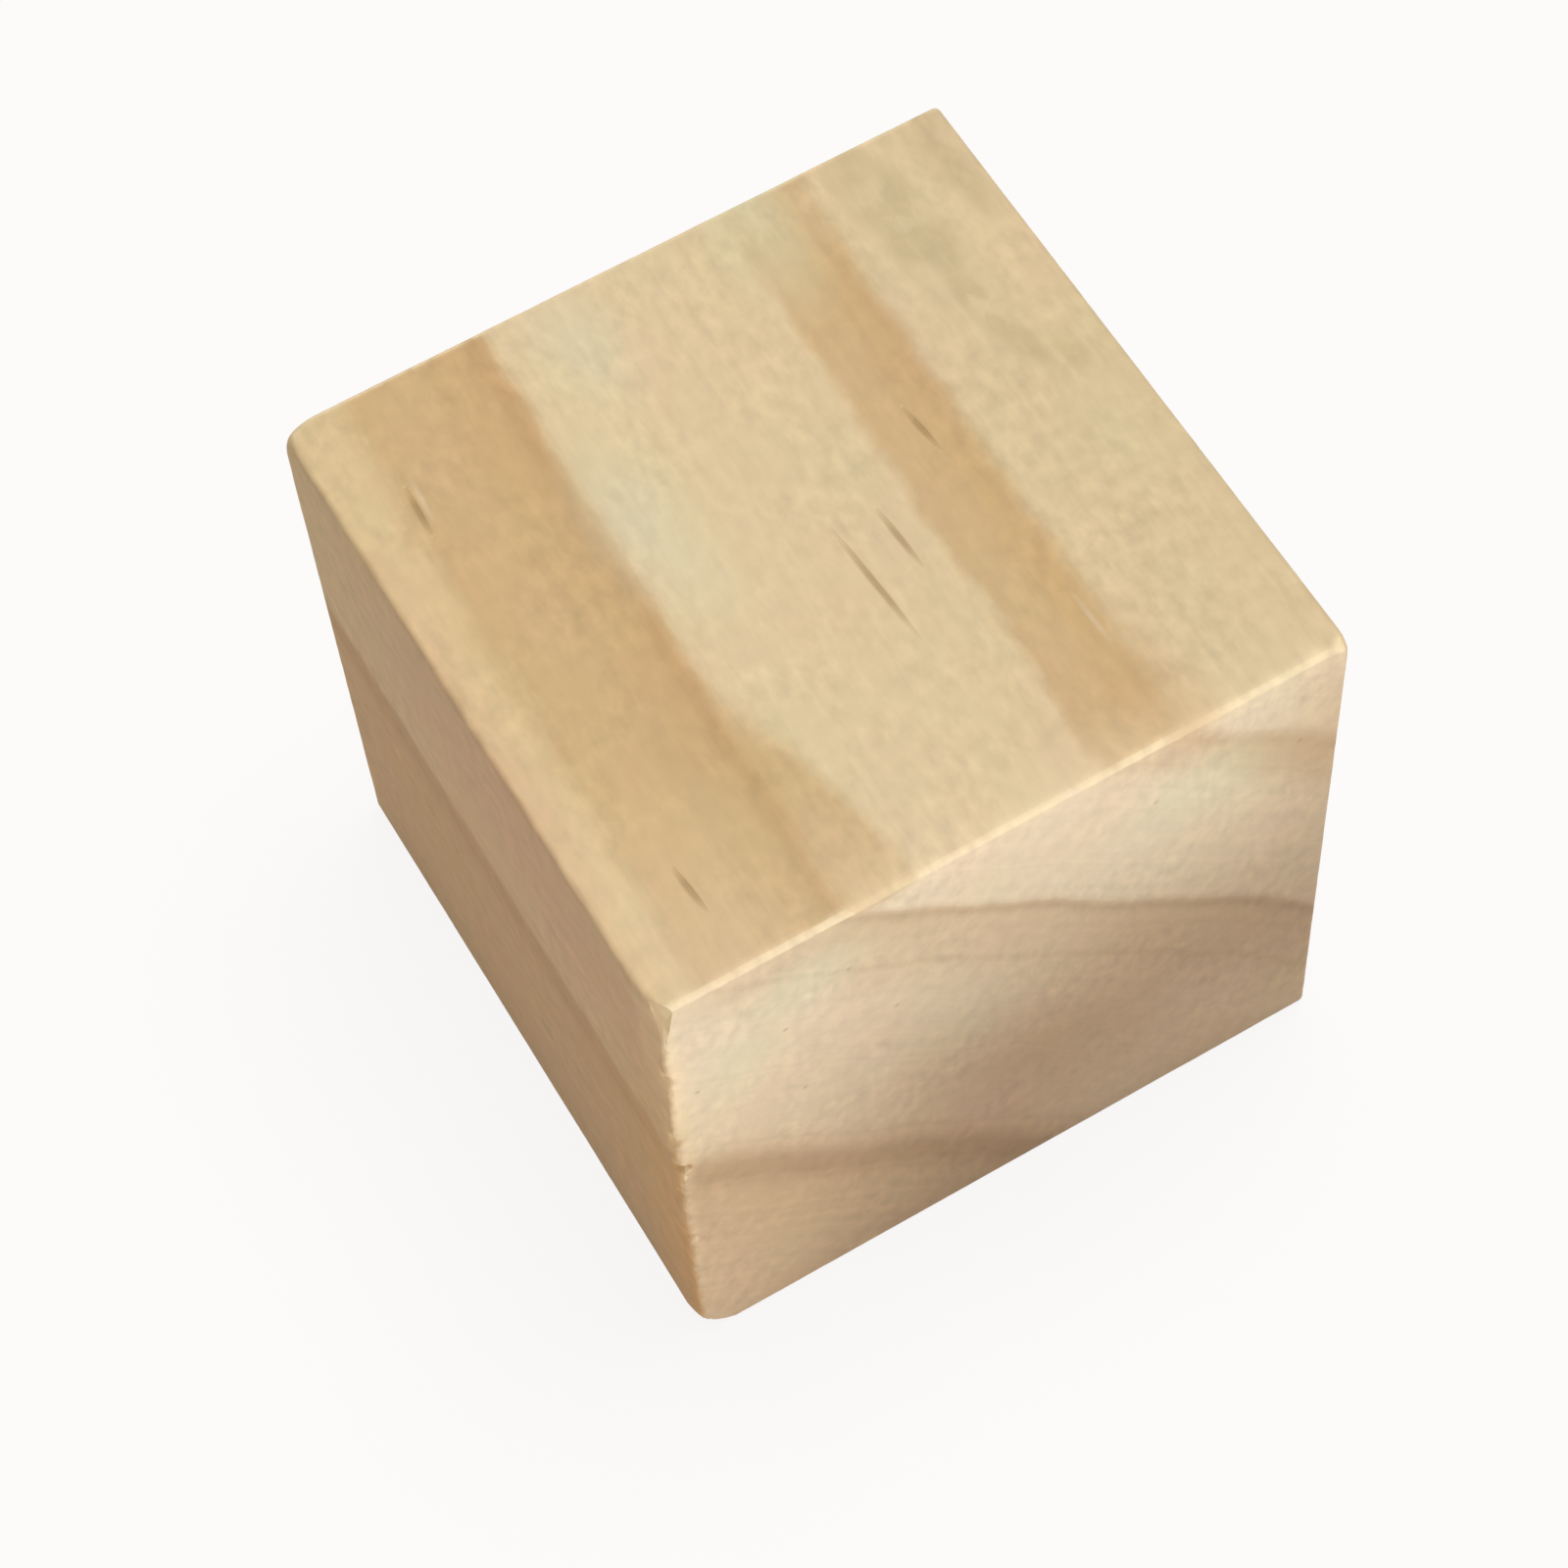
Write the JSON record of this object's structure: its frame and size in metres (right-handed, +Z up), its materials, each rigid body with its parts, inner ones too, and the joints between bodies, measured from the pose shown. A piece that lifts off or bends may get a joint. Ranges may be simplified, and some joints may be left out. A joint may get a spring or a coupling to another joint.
{
  "type": "wooden cube",
  "caption": "Small solid cube of unfinished, sanded softwood with eased edges, worn corners and visible growth rings.",
  "frame": {"origin": "middle of the underside", "axes": "+X across the grain, to the right; +Y along the grain, to the back, so the front and back faces are end grain; +Z up"},
  "size_m": [0.025, 0.025, 0.025],
  "materials": {
    "sanded_pine": "bare, sanded"
  },
  "bodies": {
    "root": {"block": "sanded_pine"}
  },
  "joints": []
}
